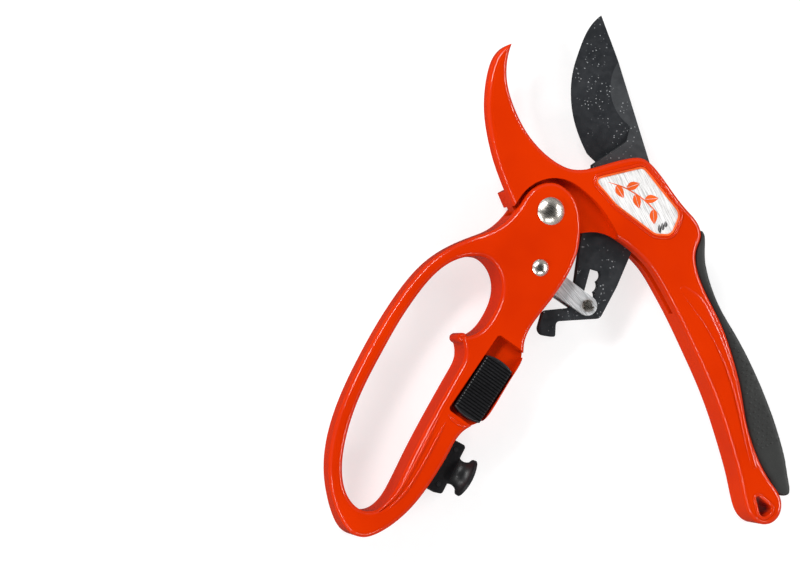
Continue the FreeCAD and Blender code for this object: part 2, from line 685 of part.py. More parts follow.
def wire_piece(label, shapes, floor, place):
    made = doc.addObject("Part::Feature", label)
    made.Shape = shapes[0].multiFuse(shapes[1:])
    return piece(made, place.multiply(FreeCAD.Placement(V(0, 0, floor), FreeCAD.Rotation())))


def return_spring():
    """One leg stands in the hook casting's disc, the other runs in the groove of the back cheek."""
    wire, floor = 1.1, 5.9
    coil, start, end = spring(SPRING_RADIUS, wire, 2.5)
    down = leg(start, V(0, 0, -1.6), wire)
    up = leg(end, V(0, 0, 2.2), wire)
    return wire_piece("return_spring", [coil, down, up], floor, HOOK_PLACE)


def link_return_spring():
    wire, floor = 0.6, 7.9
    coil, start, end = spring(3.9, wire, 2.5)
    along_plate = leg(start, V(3, -5.2, 0), wire)
    free = leg(end, V(-1, 4, 0), wire)
    return wire_piece("link_return_spring", [coil, along_plate, free], floor, LINK_PLACE)


# ---- lock: its own axes have +Y along the way that the slider moves to lock ----

def lock_slider():
    body = new_body("lock_slider")
    half, long = size("slider_wide") / 2, size("slider_long")
    top, bottom, arch = 0.3, 0.3 - long, 1.2
    ends = [at(-half, bottom + arch), at(-half, top - arch), at(half, top - arch), at(half, bottom + arch)]
    edges = [Part.LineSegment(ends[0], ends[1]), Part.Arc(ends[1], at(0, top), ends[2]),
             Part.LineSegment(ends[2], ends[3]), Part.Arc(ends[3], at(0, bottom), ends[0])]
    floor = S + "slider_floor"
    roof = floor + " + " + S + "slider_high"
    pad(body, "thumb_piece", edges, floor, roof)
    blank = body.Tip
    thumb_roof = size("slider_floor") + size("slider_high")
    names = [f"Edge{i}" for i, e in enumerate(blank.Shape.Edges, 1) if e.BoundBox.ZMin > thumb_roof - 0.01]
    made = body.newObject("PartDesign::Fillet", "thumb_rounding")
    made.Base = (blank, names)
    made.Radius = 0.8
    doc.recompute()
    first = pocket(body, "rib_groove", box_outline(-half - 1, bottom + 1.6, half + 1, bottom + 2.2),
                   roof + " - 0.5", roof + " + 1")
    rows = body.newObject("PartDesign::LinearPattern", "rib_grooves")
    rows.Originals = [first]
    rows.Direction = (origin_plane(body, "Y_Axis"), "")
    rows.Length = long - 3.8
    rows.Occurrences = RIB_GROOVES
    body.Tip = rows
    doc.recompute()
    pad(body, "stem", box_outline(-STEM_HALF, STEM_BOTTOM, STEM_HALF, STEM_TOP), S + "slot_roof", floor + " + 0.4")
    pocket(body, "screw_hole", circle(1.0, SCREW_AT), S + "slot_roof - 1", S + "slot_roof + 2.6")
    return piece(body, lock_frame())


def lock_bolt():
    body = new_body("lock_bolt")
    pad(body, "bolt_plate", rounded(BOLT), S + "slot_floor", S + "slot_roof")
    pocket(body, "bolt_hole", circle(1.0, SCREW_AT), "0", S + "slot_roof + 1")
    return piece(body, lock_frame())


def lock_inside():
    """What sits behind the bolt: its screw, the detent leaf and the cover that closes the window."""
    floor = size("slot_floor")
    screw_place = lock_frame().multiply(turned(0, SCREW_AT))
    lathe("lock_slider_screw", section((0, floor - 1.2), (1.9, floor - 1.2), (1.9, floor), (1.0, floor),
                                       (1.0, floor + 6.4), (0, floor + 6.4)), screw_place)
    cover = new_body("lock_cover")
    inset = rounded([(-4.9, -22.7, 1.0), (4.9, -22.7, 1.0), (4.9, -2.7, 1.0), (-4.9, -2.7, 1.0)])
    pad(cover, "cover_sheet", inset, "0.3", S + "cover_sink")
    piece(cover, lock_frame())

    leaf = new_body("lock_detent_spring")
    rest = size("cover_sink") + 0.05
    edges = rounded([(-22.0, rest, 0), (-18.6, 6.8, 0.8), (-15.2, rest, 0), (-15.7, rest, 0), (-18.6, 6.0, 0.5),
                     (-21.5, rest, 0)])
    made = leaf.newObject("PartDesign::Pad", "leaf")
    made.Profile = sketch(leaf, "leaf_outline", edges, role="YZ_Plane")
    made.Length = 3.0
    made.Midplane = True
    doc.recompute()
    piece(leaf, lock_frame())


# ---- bumper on the right of the loop handle ----

def bumper():
    carrier = new_body("bumper_carrier")
    x0, y0, x1, y1 = CARRIER
    block = rounded([(x0, y0, 0.4), (x1, y0, 1.2), (x1, y1, 1.2), (x0, y1, 0.4)])
    pad(carrier, "block", block, S + "carrier_floor", S + "carrier_roof")
    for name, spot in PIN_SPOTS:
        pocket(carrier, name + "_hole", circle(0.9, spot), "0", S + "carrier_roof + 1")
    piece(carrier, LOOP_PLACE)

    pins = [Part.makeCylinder(0.9, size("carrier_roof") - size("carrier_floor") + 0.5,
                              spot + V(0, 0, size("carrier_floor") - 0.25)) for _, spot in PIN_SPOTS]
    both = doc.addObject("Part::Feature", "bumper_pins")
    both.Shape = Part.makeCompound(pins)
    piece(both, LOOP_PLACE)

    outward = FreeCAD.Rotation(V(0, 0, 1), V(1, 0, 0))
    middle = FreeCAD.Placement(V(x1, (y0 + y1) / 2, BUMPER_LEVEL), outward)
    lathe("bumper_core", section((0, 0), (2.0, 0), (2.0, 4.6), (0, 4.6)), LOOP_PLACE.multiply(middle))
    flare = [at(6.4, 0), at(5.0, 2.4), at(5.5, 4.6), at(7.4, 6.2)]
    neck = Part.BSplineCurve()
    neck.interpolate(flare)
    rim, tall, reach = at(7.5, 7.2), 1.5, 19.5
    dome = Part.Arc(rim, at(4.6, rim.y + tall - reach + math.sqrt(reach ** 2 - 4.6 ** 2)), at(0, rim.y + tall))
    edges = [Part.LineSegment(at(2.0, 0), flare[0]), neck, Part.LineSegment(flare[-1], rim), dome,
             Part.LineSegment(at(0, rim.y + tall), at(0, 4.6)),
             Part.LineSegment(at(0, 4.6), at(2.0, 4.6)), Part.LineSegment(at(2.0, 4.6), at(2.0, 0))]
    lathe("rubber_bumper", edges, LOOP_PLACE.multiply(middle))


hook_handle()
grip_pad()
name_plate()
loop_handle()
cutting_blade()
pins_and_washers()
link_group()
return_spring()
link_return_spring()
lock_slider()
lock_bolt()
lock_inside()
bumper()

# ---- checks, then one STEP file for each sub-part ----

doc.recompute()
for obj in doc.Objects:
    if "Invalid" in obj.State or "Error" in obj.State:
        raise RuntimeError(f"{obj.Label} failed: {obj.State}")

os.makedirs("parts", exist_ok=True)
for obj in PIECES:
    if obj.Shape.isNull() or not obj.Shape.isValid():
        raise RuntimeError(f"{obj.Label} has no valid shape")
    obj.Shape.exportStep(f"parts/{obj.Label}.step")
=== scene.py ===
import json
import math

import bmesh
import bpy
from mathutils import Matrix, Vector


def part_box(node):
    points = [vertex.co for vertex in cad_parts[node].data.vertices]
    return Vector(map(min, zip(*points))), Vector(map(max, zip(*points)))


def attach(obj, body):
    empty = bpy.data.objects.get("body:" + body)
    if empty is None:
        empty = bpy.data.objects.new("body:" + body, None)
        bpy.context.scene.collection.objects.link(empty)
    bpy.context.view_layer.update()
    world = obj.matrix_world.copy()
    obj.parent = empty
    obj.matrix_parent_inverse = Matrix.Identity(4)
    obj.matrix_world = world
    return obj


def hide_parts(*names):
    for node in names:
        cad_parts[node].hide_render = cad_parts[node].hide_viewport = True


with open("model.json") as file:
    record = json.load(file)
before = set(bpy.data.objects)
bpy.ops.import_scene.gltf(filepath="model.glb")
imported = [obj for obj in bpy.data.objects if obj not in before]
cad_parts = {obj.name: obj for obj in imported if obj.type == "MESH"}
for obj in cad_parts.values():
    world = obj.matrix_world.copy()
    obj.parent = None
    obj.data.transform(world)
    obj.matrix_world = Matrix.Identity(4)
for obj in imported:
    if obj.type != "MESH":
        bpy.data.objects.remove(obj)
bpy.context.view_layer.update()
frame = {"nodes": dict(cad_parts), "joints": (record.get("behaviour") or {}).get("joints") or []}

# Plan positions below are in millimetres from the main pivot, with the shears closed and upright.
# The handles stand open at rest, so each one's positions are turned by its opening angle.
MM = 0.001
HOOK_TURN = math.radians(26.2)
LOOP_TURN = math.radians(-27.8)
JOINTS = {joint["name"]: joint for joint in frame["joints"]}
PIVOT = Vector(JOINTS["handle_pivot"]["pos_m"])


def placed(turn):
    """Matrix from closed plan millimetres to the row frame, for a casting opened by an angle."""
    return Matrix.Translation((PIVOT.x, PIVOT.y, 0)) @ Matrix.Rotation(turn, 4, "Z") @ Matrix.Scale(MM, 4)


HOOK = placed(HOOK_TURN)
LOOP = placed(LOOP_TURN)
HOOK_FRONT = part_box("hook_handle")[1].z / MM
LOOP_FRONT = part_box("loop_handle")[1].z / MM
PLATE_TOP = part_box("name_plate")[1].z / MM


# ---- materials ----

def material(name, colour, metallic, roughness):
    """A Principled material; returns it with its tree and shader, for the textures to join on to."""
    made = bpy.data.materials.new(name)
    made.use_nodes = True
    tree = made.node_tree
    shader = tree.nodes["Principled BSDF"]
    shader.inputs["Base Color"].default_value = (*colour, 1)
    shader.inputs["Metallic"].default_value = metallic
    shader.inputs["Roughness"].default_value = roughness
    return made, tree, shader


def texture(tree, kind, scale, stretch=(1, 1, 1), turn=0.0, **settings):
    """A texture on object coordinates, in metres, stretched and turned about Z."""
    place = tree.nodes.new("ShaderNodeTexCoord")
    turned = tree.nodes.new("ShaderNodeMapping")
    turned.inputs["Rotation"].default_value = (0, 0, turn)
    stretched = tree.nodes.new("ShaderNodeMapping")
    stretched.inputs["Scale"].default_value = stretch
    made = tree.nodes.new(kind)
    made.inputs["Scale"].default_value = scale
    for key, value in settings.items():
        made.inputs[key].default_value = value
    tree.links.new(place.outputs["Object"], turned.inputs["Vector"])
    tree.links.new(turned.outputs["Vector"], stretched.inputs["Vector"])
    tree.links.new(stretched.outputs["Vector"], made.inputs["Vector"])
    return made


def ramp(tree, source, stops):
    """Colour ramp over a texture's value. Stops are (position, colour or grey)."""
    made = tree.nodes.new("ShaderNodeValToRGB")
    points = made.color_ramp.elements
    while len(points) < len(stops):
        points.new(0.5)
    for point, (position, shade) in zip(points, stops):
        point.position = position
        point.color = (*shade, 1) if isinstance(shade, tuple) else (shade, shade, shade, 1)
    tree.links.new(source, made.inputs["Fac"])
    return made.outputs["Color"]


def bump(tree, shader, source, strength, depth, below=None):
    """Height from a texture, over the normal of a bump below it; returns the new normal."""
    made = tree.nodes.new("ShaderNodeBump")
    made.inputs["Strength"].default_value = strength
    made.inputs["Distance"].default_value = depth
    tree.links.new(source, made.inputs["Height"])
    if below is not None:
        tree.links.new(below, made.inputs["Normal"])
    tree.links.new(made.outputs["Normal"], shader.inputs["Normal"])
    return made.outputs["Normal"]


def mixed(tree, how_much, first, second):
    """Two colours mixed by a texture's value."""
    made = tree.nodes.new("ShaderNodeMix")
    made.data_type = "RGBA"
    first_colour, second_colour, result_colour = 6, 7, 2
    tree.links.new(how_much, made.inputs["Factor"])
    tree.links.new(first, made.inputs[first_colour])
    tree.links.new(second, made.inputs[second_colour])
    return made.outputs[result_colour]


def times(tree, first, second):
    made = tree.nodes.new("ShaderNodeMath")
    made.operation = "MULTIPLY"
    tree.links.new(first, made.inputs[0])
    tree.links.new(second, made.inputs[1])
    return made.outputs["Value"]


def powder_coat():
    """Glossy orange powder coat on a casting: slow colour drift, fine orange peel, a few dust nibs."""
    made, tree, shader = material("orange_powder_coat", (0.58, 0.025, 0.0), 0.0, 0.14)
    shader.inputs["Specular IOR Level"].default_value = 0.30
    deep, bright = (0.53, 0.021, 0.0), (0.62, 0.029, 0.0)
    drift = texture(tree, "ShaderNodeTexNoise", 28, Detail=3)
    shade = ramp(tree, drift.outputs["Fac"], [(0.3, deep), (0.7, bright)])
    tree.links.new(shade, shader.inputs["Base Color"])
    patches = texture(tree, "ShaderNodeTexNoise", 130, Detail=4)
    tree.links.new(ramp(tree, patches.outputs["Fac"], [(0.3, 0.10), (0.7, 0.18)]), shader.inputs["Roughness"])
    peel = texture(tree, "ShaderNodeTexNoise", 900, Detail=2)
    peel_normal = bump(tree, shader, peel.outputs["Fac"], 0.10, 0.0001)
    nibs = texture(tree, "ShaderNodeTexVoronoi", 160)
    spots = ramp(tree, nibs.outputs["Distance"], [(0.0, 1.0), (0.07, 0.0)])
    bump(tree, shader, spots, 0.35, 0.0001, peel_normal)
    return made


def blade_coat():
    """Dark non-stick coating: satin and speckled. Faces tilted off the flat, the ground bevel, are painted
    darker as painted shade; the tang past the pivot takes the same darker colour.
    """
    made, tree, shader = material("dark_blade_coat", (0.030, 0.033, 0.038), 0.30, 0.42)
    wide = texture(tree, "ShaderNodeTexNoise", 70, Detail=5)
    fade = wide.outputs["Fac"]
    flat_shade = ramp(tree, fade, [(0.3, (0.040, 0.043, 0.047)), (0.7, (0.062, 0.066, 0.070))])
    painted_shade_and_tang = ramp(tree, fade, [(0.3, (0.016, 0.018, 0.021)), (0.7, (0.030, 0.033, 0.037))])

    # Painted shade: faces that tilt away from flat, the ground bevel, get the darker colour, chosen by the
    # normal's tilt.
    faces = tree.nodes.new("ShaderNodeTexCoord")
    tilt = tree.nodes.new("ShaderNodeSeparateXYZ")
    tree.links.new(faces.outputs["Normal"], tilt.inputs["Vector"])
    tilted = ramp(tree, tilt.outputs["Z"], [(0.9925, 1.0), (0.9990, 0.0)])
    by_face = mixed(tree, tilted, flat_shade, painted_shade_and_tang)

    # Past the pivot, the tang takes the same darker colour.
    where = tree.nodes.new("ShaderNodeSeparateXYZ")
    tree.links.new(faces.outputs["Object"], where.inputs["Vector"])
    past_pivot = tree.nodes.new("ShaderNodeMath")
    past_pivot.operation = "SUBTRACT"
    tree.links.new(where.outputs["Y"], past_pivot.inputs[0])
    past_pivot.inputs[1].default_value = PIVOT.y
    on_tang = ramp(tree, past_pivot.outputs["Value"], [(0.010, 1.0), (0.022, 0.0)])
    coat_with_painted_shade = mixed(tree, on_tang, by_face, painted_shade_and_tang)

    cells = texture(tree, "ShaderNodeTexVoronoi", 760)
    thin_out = texture(tree, "ShaderNodeTexNoise", 110, Detail=3)
    near = ramp(tree, cells.outputs["Distance"], [(0.13, 1.0), (0.22, 0.0)])
    some = ramp(tree, thin_out.outputs["Fac"], [(0.47, 0.0), (0.55, 1.0)])
    specks = times(tree, near, some)
    bright = ramp(tree, fade, [(0.3, (0.22, 0.23, 0.24)), (0.7, (0.36, 0.37, 0.38))])
    tree.links.new(mixed(tree, specks, coat_with_painted_shade, bright), shader.inputs["Base Color"])

    grain = texture(tree, "ShaderNodeTexNoise", 420, Detail=6)
    tree.links.new(ramp(tree, grain.outputs["Fac"], [(0.3, 0.32), (0.7, 0.50)]), shader.inputs["Roughness"])
    fine = bump(tree, shader, grain.outputs["Fac"], 0.30, 0.0001)
    bump(tree, shader, specks, 0.5, 0.0001, fine)
    return made


def brushed(name, colour, turn, roughness, depth, metallic=1.0):
    """Brushed metal: long scratches one way, in colour, roughness and height."""
    made, tree, shader = material(name, colour, metallic, roughness)
    lines = texture(tree, "ShaderNodeTexNoise", 120, (1, 22, 22), turn, Detail=8, Roughness=0.75)
    dark = tuple(part * 0.45 for part in colour)
    light = tuple(min(part * 1.35, 1.0) for part in colour)
    shade = ramp(tree, lines.outputs["Fac"], [(0.34, dark), (0.50, colour), (0.62, light)])
    tree.links.new(shade, shader.inputs["Base Color"])
    rough = ramp(tree, lines.outputs["Fac"], [(0.3, roughness - 0.1), (0.7, roughness + 0.14)])
    tree.links.new(rough, shader.inputs["Roughness"])
    bump(tree, shader, lines.outputs["Fac"], depth, 0.00005)
    return made


def plated(name, colour, roughness):
    """Plated metal with faint dimples from the rivet set and fine handling scratches."""
    made, tree, shader = material(name, colour, 1.0, roughness)
    dimples = texture(tree, "ShaderNodeTexNoise", 330, Detail=2)
    soft = bump(tree, shader, dimples.outputs["Fac"], 0.35, 0.00025)
    scratches = texture(tree, "ShaderNodeTexNoise", 500, (1, 14, 1), 0.6, Detail=5)
    rough = ramp(tree, scratches.outputs["Fac"], [(0.35, roughness), (0.72, roughness + 0.22)])
    tree.links.new(rough, shader.inputs["Roughness"])
    bump(tree, shader, scratches.outputs["Fac"], 0.12, 0.00005, soft)
    return made


def mottled_steel():
    """Blued clip steel with darker oxide patches."""
    made, tree, shader = material("mottled_clip_steel", (0.42, 0.38, 0.34), 1.0, 0.38)
    patches = texture(tree, "ShaderNodeTexNoise", 700, Detail=5)
    shade = ramp(tree, patches.outputs["Fac"], [(0.42, (0.10, 0.07, 0.055)), (0.56, (0.62, 0.58, 0.54))])
    tree.links.new(shade, shader.inputs["Base Color"])
    bump(tree, shader, patches.outputs["Fac"], 0.3, 0.0001)
    return made


def moulded(name, colour, roughness, scale, depth):
    """Moulded rubber or plastic: fine spark-eroded grain and a faint drift in shade."""
    made, tree, shader = material(name, colour, 0.0, roughness)
    shader.inputs["Specular IOR Level"].default_value = 0.4
    drift = texture(tree, "ShaderNodeTexNoise", 60, Detail=4)
    darker = tuple(part * 0.72 for part in colour)
    lighter = tuple(part * 1.30 for part in colour)
    shade = ramp(tree, drift.outputs["Fac"], [(0.3, darker), (0.7, lighter)])
    tree.links.new(shade, shader.inputs["Base Color"])
    grain = texture(tree, "ShaderNodeTexNoise", scale, Detail=3)
    low, high = roughness - 0.07, roughness + 0.08
    tree.links.new(ramp(tree, grain.outputs["Fac"], [(0.35, low), (0.65, high)]), shader.inputs["Roughness"])
    bump(tree, shader, grain.outputs["Fac"], depth, 0.0001)
    return made


ORANGE = powder_coat()
BLADE = blade_coat()
RUBBER = moulded("grip_rubber", (0.017, 0.018, 0.017), 0.60, 1500, 0.45)
BUMPER_RUBBER = moulded("bumper_rubber", (0.009, 0.009, 0.010), 0.42, 1300, 0.20)
BLACK = moulded("black_plastic", (0.007, 0.007, 0.008), 0.36, 1800, 0.20)
PIN_STEEL = plated("blackened_pin_steel", (0.05, 0.05, 0.052), 0.40)
WASHER_PLASTIC = moulded("washer_plastic", (0.022, 0.022, 0.024), 0.50, 1600, 0.25)
PLATE = brushed("brushed_plate", (0.84, 0.83, 0.82), math.radians(62), 0.40, 0.5, 0.25)
LINK = brushed("link_plate_steel", (0.60, 0.61, 0.62), math.radians(48), 0.40, 0.35, 0.5)
WASHER = brushed("washer_steel", (0.42, 0.42, 0.43), 0.0, 0.38, 0.3)
NICKEL = plated("polished_nickel", (0.66, 0.62, 0.56), 0.16)
SPRING = plated("spring_wire", (0.40, 0.40, 0.40), 0.28)
CLIP = mottled_steel()
PRINT_ORANGE = moulded("orange_print", (0.80, 0.10, 0.004), 0.45, 1500, 0.1)
PRINT_BLACK = moulded("black_print", (0.015, 0.015, 0.016), 0.45, 1500, 0.1)

FINISHES = {
    "hook_handle": ORANGE,
    "loop_handle": ORANGE,
    "cutting_blade": BLADE,
    "grip_pad": RUBBER,
    "name_plate": PLATE,
    "main_pivot_rivet": NICKEL,
    "link_pivot_rivet": NICKEL,
    "blade_pivot_pin": NICKEL,
    "ratchet_pin": NICKEL,
    "bumper_pins": PIN_STEEL,
    "pivot_washer_front": WASHER,
    "pivot_washer_back": WASHER_PLASTIC,
    "blade_washer_front": WASHER_PLASTIC,
    "blade_washer_back": WASHER_PLASTIC,
    "link_spacer": WASHER_PLASTIC,
    "link_plate_front": LINK,
    "link_plate_back": LINK,
    "ratchet_pin_clip": CLIP,
    "return_spring": SPRING,
    "link_return_spring": SPRING,
    "lock_detent_spring": SPRING,
    "lock_slider_screw": SPRING,
    "lock_bolt": WASHER,
    "lock_slider": BLACK,
    "lock_cover": BLACK,
    "bumper_carrier": BLACK,
    "bumper_core": BLACK,
    "rubber_bumper": BUMPER_RUBBER,
}


def finish_nodes():
    for name, node in frame["nodes"].items():
        node.material_slots[0].material = FINISHES[name]


# ---- building helpers ----

def mesh_piece(name, bm, body, finish, smooth=True):
    mesh = bpy.data.meshes.new(name)
    bmesh.ops.recalc_face_normals(bm, faces=bm.faces)
    bm.to_mesh(mesh)
    bm.free()
    mesh.materials.append(finish)
    for face in mesh.polygons:
        face.use_smooth = smooth
    made = bpy.data.objects.new(name, mesh)
    bpy.context.scene.collection.objects.link(made)
    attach(made, body)
    return made


def curve_through(points, steps=12):
    """Points along a smooth open curve through a few plan points (Catmull-Rom)."""
    found = []
    last = len(points) - 1
    for i in range(last):
        a, b, c, d = (points[min(max(i + k, 0), last)] for k in (-1, 0, 1, 2))
        for step in range(steps):
            t = step / steps
            found.append(0.5 * ((2 * b) + (c - a) * t + (2 * a - 5 * b + 4 * c - d) * t * t
                                + (3 * b - a - 3 * c + d) * t ** 3))
    found.append(points[last].copy())
    return found


def rounded_outline(corners, steps=8):
    """Plan points of a polygon whose corners (x, y, radius) are rounded by arcs."""
    found = []
    count = len(corners)
    for i, (x, y, radius) in enumerate(corners):
        here = Vector((x, y))
        back = (Vector(corners[i - 1][:2]) - here).normalized()
        on = (Vector(corners[(i + 1) % count][:2]) - here).normalized()
        half = back.angle(on) / 2
        reach = radius / math.tan(half)
        centre = here + (back + on).normalized() * (radius / math.sin(half))
        start = here + back * reach - centre
        sweep = (here + on * reach - centre).angle_signed(start)
        for step in range(steps + 1):
            found.append(centre + Matrix.Rotation(sweep * step / steps, 2) @ start)
    return found


def grown(points, by):
    """The closed outline moved outward by a distance."""
    count = len(points)
    area = sum(points[i - 1].cross(points[i]) for i in range(count))
    side = 1 if area > 0 else -1
    found = []
    for i, point in enumerate(points):
        along = (points[(i + 1) % count] - points[i - 1]).normalized()
        found.append(point + Vector((along.y, -along.x)) * by * side)
    return found


def bead(name, points, level, radius, place, body, finish, closed=True, sides=8):
    """Half-round bead lying along plan points on a flat face."""
    bm = bmesh.new()
    rows = []
    count = len(points)
    for i, point in enumerate(points):
        before = points[i - 1] if closed or i else points[i]
        after = points[(i + 1) % count] if closed or i < count - 1 else points[i]
        along = (after - before).normalized()
        across = Vector((along.y, -along.x))
        taper = 1.0 if closed else min(1.0, 0.15 + 4.0 * min(i, count - 1 - i) / count)
        row = []
        for k in range(sides):
            angle = 2 * math.pi * k / sides
            flat = point + across * math.cos(angle) * radius * taper
            high = level + math.sin(angle) * radius * 0.8 * taper
            row.append(bm.verts.new(place @ Vector((flat.x, flat.y, high))))
        rows.append(row)
    pairs = zip(rows, rows[1:] + rows[:1]) if closed else zip(rows, rows[1:])
    for row, other in pairs:
        for k in range(sides):
            bm.faces.new((row[k], row[(k + 1) % sides], other[(k + 1) % sides], other[k]))
    if not closed:
        bm.faces.new(rows[0])
        bm.faces.new(rows[-1][::-1])
    return mesh_piece(name, bm, body, finish)


def swell(name, left, right, level, height, place, body, finish, across=14):
    """Raised land between two plan curves, which rises from nothing at its rim to its full height."""
    bm = bmesh.new()
    rows = []
    rim_sunk, base_sunk = 0.12, 0.5
    for i, (a, b) in enumerate(zip(left, right)):
        end = math.sin(math.pi * i / (len(left) - 1)) ** 0.5
        row = []
        for k in range(across + 1):
            t = k / across
            rise = math.sin(math.pi * t) ** 0.6 * end
            flat = a.lerp(b, t)
            high = level - rim_sunk + (height + rim_sunk) * rise
            row.append(bm.verts.new(place @ Vector((flat.x, flat.y, high))))
        for flat in (b, a):
            row.append(bm.verts.new(place @ Vector((flat.x, flat.y, level - base_sunk))))
        rows.append(row)
    size = len(rows[0])
    for row, other in zip(rows, rows[1:]):
        for k in range(size):
            bm.faces.new((row[k], row[(k + 1) % size], other[(k + 1) % size], other[k]))
    bm.faces.new(rows[0])
    bm.faces.new(rows[-1][::-1])
    return mesh_piece(name, bm, body, finish)


def points_of(*pairs):
    return [Vector(pair) for pair in pairs]


# ---- rubber grip, rounded as it is moulded, with its rows of raised dots ----

def rounded_copy(node, name, voxel, rounds):
    """A copy of a CAD node's solid with its corners rounded, as a soft moulding has them."""
    source = frame["nodes"][node]
    made = bpy.data.objects.new(name, source.data.copy())
    bpy.context.scene.collection.objects.link(made)
    remesh = made.modifiers.new("even", "REMESH")
    remesh.mode = "VOXEL"
    remesh.voxel_size = voxel
    smooth = made.modifiers.new("soften", "SMOOTH")
    smooth.iterations = rounds
    smooth.factor = 0.6
    bpy.context.view_layer.update()
    ready = made.evaluated_get(bpy.context.evaluated_depsgraph_get())
    mesh = bpy.data.meshes.new_from_object(ready)
    made.modifiers.clear()
    made.data = mesh
    mesh.name = name
    for face in mesh.polygons:
        face.use_smooth = True
    return made


def dot(bm, spot, normal, radius, high):
    """Low round dot that stands on a surface, with its rim sunk a little into it."""
    turn = normal.to_track_quat("Z", "Y").to_matrix().to_4x4()
    rings, sides, rim_sunk = 3, 10, 0.3 * high
    top = bm.verts.new(spot + normal * high)
    above = None
    for ring in range(rings):
        angle = math.pi / 2 * (ring + 1) / rings
        reach = radius * math.sin(angle)
        rise = high * math.cos(angle) - (rim_sunk if ring == rings - 1 else 0)
        row = []
        for k in range(sides):
            around = 2 * math.pi * k / sides
            out = turn @ Vector((reach * math.cos(around), reach * math.sin(around), rise))
            row.append(bm.verts.new(spot + out))
        for k in range(sides):
            following = (k + 1) % sides
            if above is None:
                bm.faces.new((top, row[k], row[following]))
            else:
                bm.faces.new((above[k], row[k], row[following], above[following]))
        above = row
    bm.faces.new(above[::-1])


DOT_PITCH = 2.3
ROW_PITCH = DOT_PITCH * 0.87
DOT_MARGIN = 1.1
DOT_ROWS, DOT_COLUMNS = 26, 14
DOT_FIELD = Vector((37.0, -70.0, 0))
DOT_RADIUS = 0.62 * MM
DOT_HIGH = 0.22 * MM
FLAT_ENOUGH = 0.75
ABOVE_GRIP, BELOW_GRIP = 40.0, -20.0


def grip_dots(skin):
    """Staggered rows of raised dots on the front and back of the rubber, where it is flat enough."""
    bm = bmesh.new()
    ring = [Vector((math.cos(k * math.pi / 3), math.sin(k * math.pi / 3), 0)) * DOT_MARGIN for k in range(6)]
    for row in range(DOT_ROWS):
        for column in range(DOT_COLUMNS):
            stagger = column + row % 2 / 2
            plan = DOT_FIELD + Vector((DOT_PITCH * stagger, -ROW_PITCH * row, 0))
            for start, way in ((ABOVE_GRIP, -1), (BELOW_GRIP, 1)):
                hits = []
                for probe in [plan] + [plan + step for step in ring]:
                    origin = HOOK @ Vector((probe.x, probe.y, start))
                    hits.append(skin.ray_cast(origin, Vector((0, 0, way))))
                if all(hit[0] and abs(hit[2].z) > FLAT_ENOUGH for hit in hits):
                    dot(bm, hits[0][1], hits[0][2], DOT_RADIUS, DOT_HIGH)
    mesh_piece("grip_dots", bm, "hook", RUBBER)


def grip():
    skin = rounded_copy("grip_pad", "grip_rubber_skin", 0.6 * MM, 26)
    skin.data.materials.clear()
    skin.data.materials.append(RUBBER)
    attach(skin, "hook")
    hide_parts("grip_pad")
    grip_dots(skin)


# ---- name plate, with a plain sprig of leaves in place of any wording ----

PLATE_CORNERS = [(20.8, 4.2, 2.0), (42.0, -0.4, 3.2), (48.0, -23.4, 4.6), (40.6, -29.8, 4.0),
                 (34.2, -26.4, 5.0), (24.8, -9.4, 12.0)]
PRINT_HIGH = 0.06
PRINT_SUNK = 0.05


def raised_panel(bm, corners):
    """Low closed prism over plan corners on the plate; corners that coincide count once."""
    corners = [c for i, c in enumerate(corners) if (c - corners[i - 1]).length > 1e-6]
    low = [bm.verts.new(HOOK @ Vector((c.x, c.y, PLATE_TOP - PRINT_SUNK))) for c in corners]
    top = [bm.verts.new(HOOK @ Vector((c.x, c.y, PLATE_TOP + PRINT_HIGH))) for c in corners]
    bm.faces.new(low)
    bm.faces.new(top[::-1])
    for i in range(len(low)):
        bm.faces.new((low[i - 1], low[i], top[i], top[i - 1]))


def leaf(bm, foot, along, long, wide):
    """Flat leaf with a pointed tip, a little raised, in two halves beside its midrib."""
    along = along.normalized()
    across = Vector((along.y, -along.x))
    steps, half_midrib = 10, 0.09
    for side in (-1, 1):
        inner, outer = [], []
        for i in range(steps + 1):
            t = i / steps
            reach = math.sin(math.pi * t ** 0.8) * wide / 2
            mid = foot + along * long * t
            inner.append(mid + across * side * half_midrib)
            outer.append(mid + across * side * (half_midrib + reach))
        for i in range(steps):
            raised_panel(bm, (inner[i], inner[i + 1], outer[i + 1], outer[i]))


def plate_print():
    """Coloured rim, a sprig with five leaves, and three small dark buds."""
    outline = rounded_outline(PLATE_CORNERS)
    rim = grown(outline, -0.35)
    bead("plate_rim", rim, PLATE_TOP + 0.05, 0.42, HOOK, "hook", PRINT_ORANGE)

    stem = curve_through(points_of((26.0, 0.2), (31.5, -5.0), (36.2, -12.0), (39.6, -20.5)), steps=8)
    bead("plate_stem", stem, PLATE_TOP, 0.24, HOOK, "hook", PRINT_ORANGE, closed=False)

    leaves = bmesh.new()
    for i in range(5):
        at = 4 * (i + 1)
        side = 1 if i % 2 == 0 else -1
        along = (stem[at + 1] - stem[at - 1]).normalized()
        way = Matrix.Rotation(math.radians(-42 * side), 2) @ along
        leaf(leaves, stem[at] + way * 0.5, way, 5.6, 3.0)
    mesh_piece("plate_leaves", leaves, "hook", PRINT_ORANGE, smooth=False)

    buds = bmesh.new()
    for i in range(3):
        foot = Vector((36.6 + 1.6 * i, -26.6 + 0.5 * i))
        leaf(buds, foot, Vector((0.35, 1)), 3.4 - 0.5 * i, 1.1)
    mesh_piece("plate_buds", buds, "hook", PRINT_BLACK, smooth=False)


# ---- raised lands and lips cast into the handles ----

HOLE_CORNERS = [(27.3, -134.2, 0.8), (31.9, -143.6, 2.0), (25.0, -144.5, 2.0)]


def hook_lip(name, corners, out, sunk, radius):
    """Bead on the hook casting's front face, a little outside an outline."""
    line = grown(rounded_outline(corners), out)
    bead(name, line, HOOK_FRONT - sunk, radius, HOOK, "hook", ORANGE)


